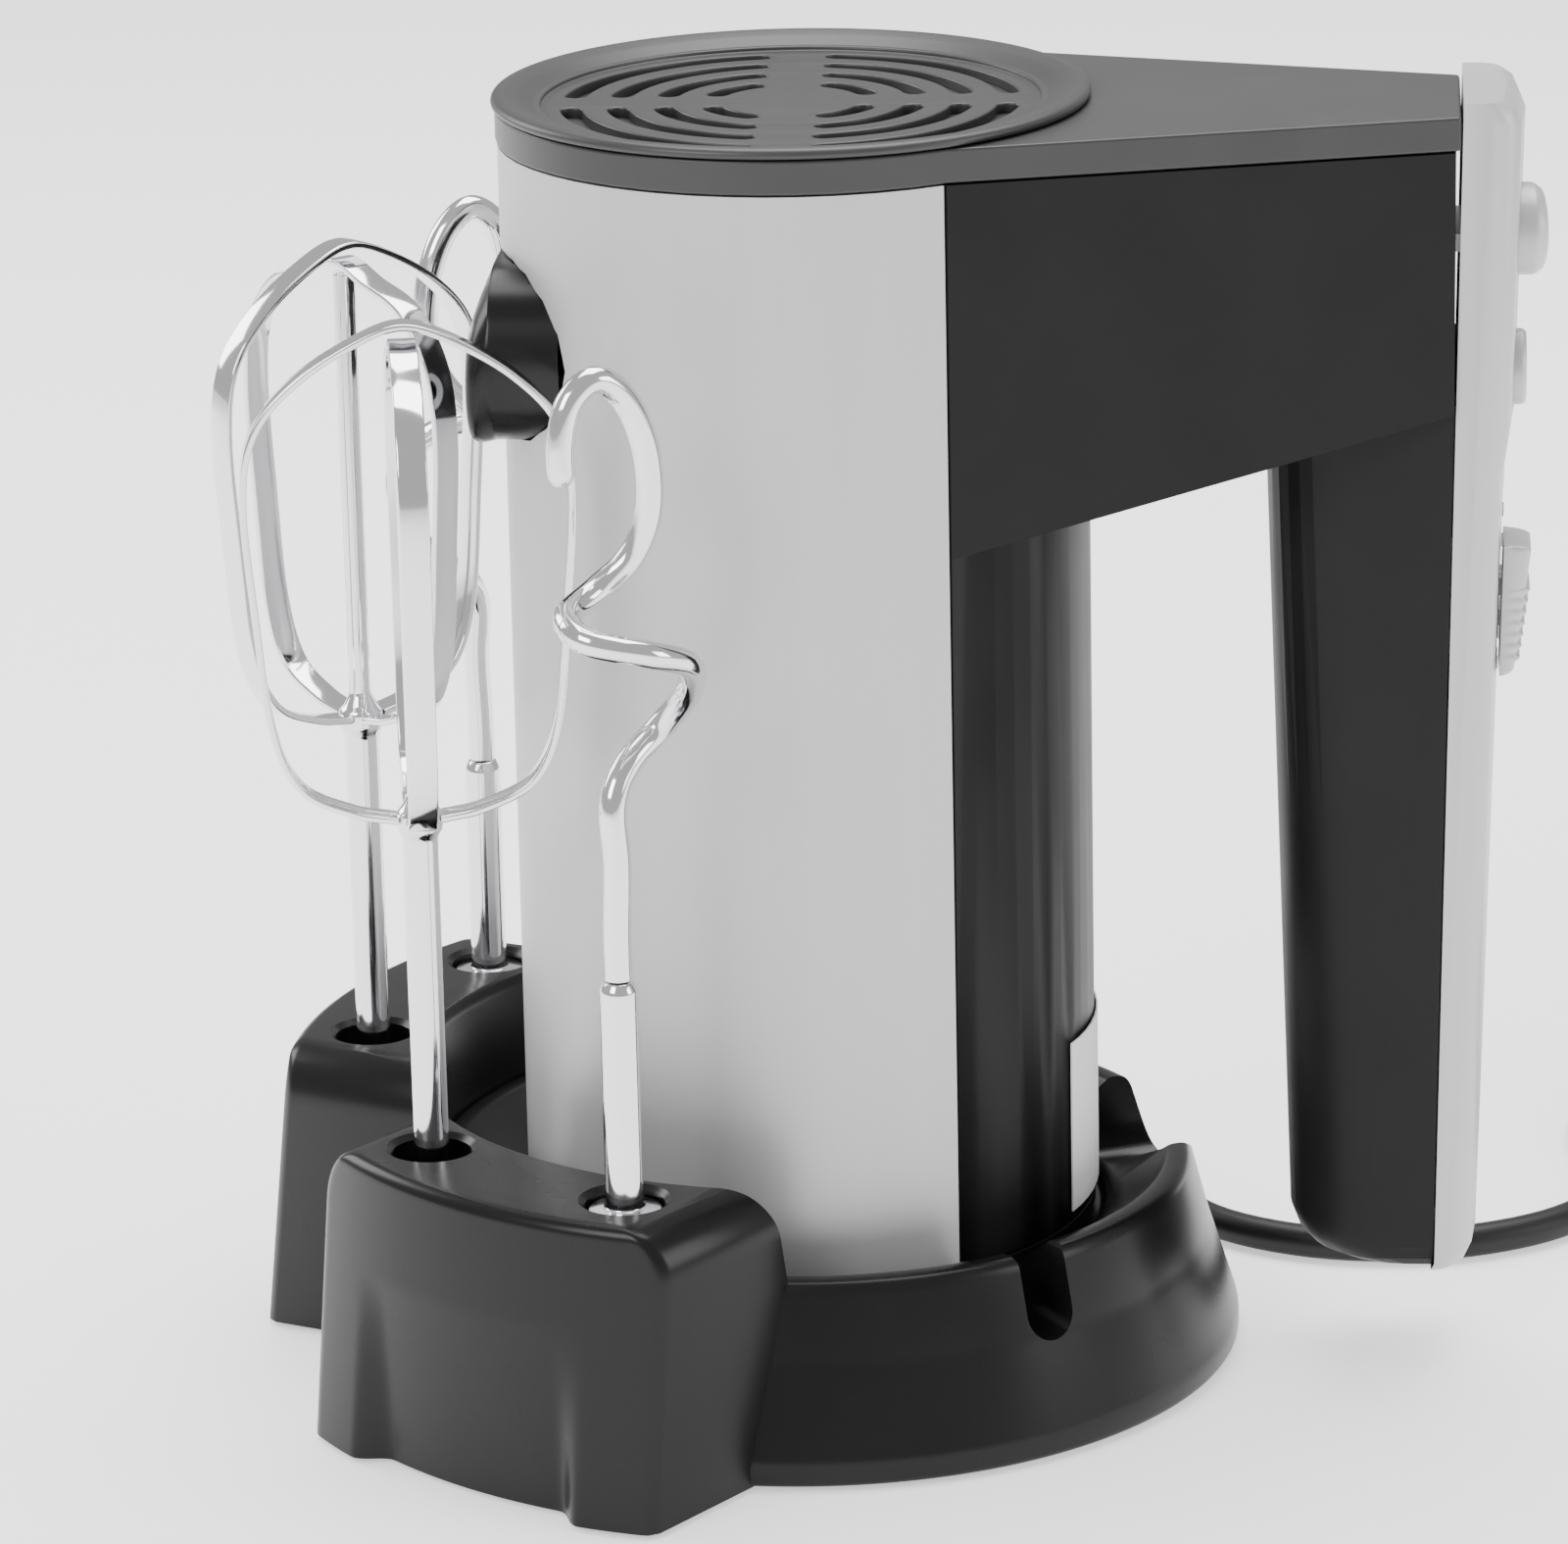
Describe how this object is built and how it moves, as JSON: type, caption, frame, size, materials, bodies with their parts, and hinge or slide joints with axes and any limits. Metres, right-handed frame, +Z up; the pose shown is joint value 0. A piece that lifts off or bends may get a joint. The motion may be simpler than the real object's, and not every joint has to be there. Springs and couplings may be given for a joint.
{
  "type": "hand mixer",
  "caption": "Upright hand mixer with a round silver and black motor body and D handle, in a storage stand that also holds its whisks and dough hooks.",
  "frame": {"origin": "centre of the box around the mixer, its stand and its tools, on the surface the stand's feet rest on, without the cord", "axes": "+Z up, +X from the tool sockets to the handle, +Y to the mixer's right side as the hand on the grip sees it"},
  "size_m": [0.336, 0.2397, 0.226],
  "materials": {
    "black_plastic": "satin moulded",
    "stand_plastic": "semi-gloss moulded",
    "silver_paint": "satin silver paint",
    "polished_chrome": "polished",
    "plain_steel": "plain",
    "laminated_iron": "stacked laminations",
    "enamelled_copper": "enamelled wire",
    "brass": "plain",
    "white_nylon": "moulded",
    "carbon": "matt",
    "circuit_board": "satin",
    "rubber": "matt",
    "label_film": "matt film"
  },
  "bodies": {
    "stand": {"storage_stand": "stand_plastic", "stand_foot_1": "rubber", "stand_foot_2": "rubber", "stand_foot_3": "rubber", "stand_foot_4": "rubber", "cord_lead": "rubber", "cord_tail": "rubber", "cord_coil": "rubber", "plug_body": "rubber", "plug_pin_1": "polished_chrome", "plug_pin_2": "polished_chrome"},
    "mixer": {"housing_left": "black_plastic", "housing_right": "black_plastic", "motor_sleeve": "silver_paint", "heel_cap": "black_plastic", "top_plate": "black_plastic", "vent_grille": "black_plastic", "tool_snout": "black_plastic", "handle_cover": "silver_paint", "rating_label": "label_film", "strain_relief": "rubber", "speed_board": "circuit_board", "turbo_switch": "carbon", "motor_stator": "laminated_iron", "field_coil_1": "enamelled_copper", "field_coil_2": "enamelled_copper", "lower_bearing_bracket": "black_plastic", "upper_bearing_bracket": "black_plastic", "lower_bearing_bush": "brass", "upper_bearing_bush": "brass", "brush_holder_1": "brass", "brush_holder_2": "brass", "carbon_brush_1": "carbon", "carbon_brush_2": "carbon", "gearbox_frame": "white_nylon"},
    "rotor": {"motor_shaft": "plain_steel", "armature": "enamelled_copper", "commutator": "enamelled_copper", "cooling_fan": "white_nylon"},
    "left_drive": {"left_spindle": "plain_steel", "left_worm_wheel": "white_nylon"},
    "right_drive": {"right_spindle": "plain_steel", "right_worm_wheel": "white_nylon"},
    "ejector": {"eject_button": "silver_paint", "ejector_bar": "plain_steel"},
    "turbo": {"turbo_button": "silver_paint"},
    "speed": {"speed_slider": "silver_paint"},
    "left_whisk": {"left_whisk_shaft": "polished_chrome", "left_whisk_loop_a": "polished_chrome", "left_whisk_loop_b": "polished_chrome"},
    "right_whisk": {"right_whisk_shaft": "polished_chrome", "right_whisk_loop_a": "polished_chrome", "right_whisk_loop_b": "polished_chrome"},
    "left_hook": {"left_hook_shank": "polished_chrome", "left_hook_wire": "polished_chrome"},
    "right_hook": {"right_hook_shank": "polished_chrome", "right_hook_wire": "polished_chrome"}
  },
  "joints": [
    {"name": "mixer_lift", "type": "slide", "parent": "stand", "child": "mixer", "axis": [0, 0, 1], "range_m": [0, 0.06]},
    {"name": "rotor_spin", "type": "hinge", "parent": "mixer", "child": "rotor", "pos_m": [-0.0141, 0.0105, 0.1], "axis": [0, 0, 1], "continuous": true},
    {"name": "left_spin", "type": "hinge", "parent": "mixer", "child": "left_drive", "pos_m": [-0.0141, -0.0075, 0.178], "axis": [1, 0, 0], "continuous": true},
    {"name": "right_spin", "type": "hinge", "parent": "mixer", "child": "right_drive", "pos_m": [-0.0141, 0.0285, 0.178], "axis": [1, 0, 0], "continuous": true},
    {"name": "eject_press", "type": "slide", "parent": "mixer", "child": "ejector", "axis": [-1, 0, 0], "range_m": [0, 0.004], "stiffness_N_per_m": 600, "springref_m": -0.004},
    {"name": "turbo_press", "type": "slide", "parent": "mixer", "child": "turbo", "axis": [-1, 0, 0], "range_m": [0, 0.002], "stiffness_N_per_m": 600, "springref_m": -0.002},
    {"name": "speed_slide", "type": "slide", "parent": "mixer", "child": "speed", "axis": [0.0275, 0, 0.9996], "range_m": [0, 0.0125]},
    {"name": "left_whisk_lift", "type": "slide", "parent": "stand", "child": "left_whisk", "axis": [0, 0, 1], "range_m": [0, 0.06]},
    {"name": "left_hook_lift", "type": "slide", "parent": "stand", "child": "left_hook", "axis": [0, 0, 1], "range_m": [0, 0.06]},
    {"name": "right_whisk_lift", "type": "slide", "parent": "stand", "child": "right_whisk", "axis": [0, 0, 1], "range_m": [0, 0.06]},
    {"name": "right_hook_lift", "type": "slide", "parent": "stand", "child": "right_hook", "axis": [0, 0, 1], "range_m": [0, 0.06]}
  ],
  "couplings": [
    {"joint": "left_spin", "follows": "rotor_spin", "ratio": 0.16667},
    {"joint": "right_spin", "follows": "rotor_spin", "ratio": -0.16667}
  ]
}
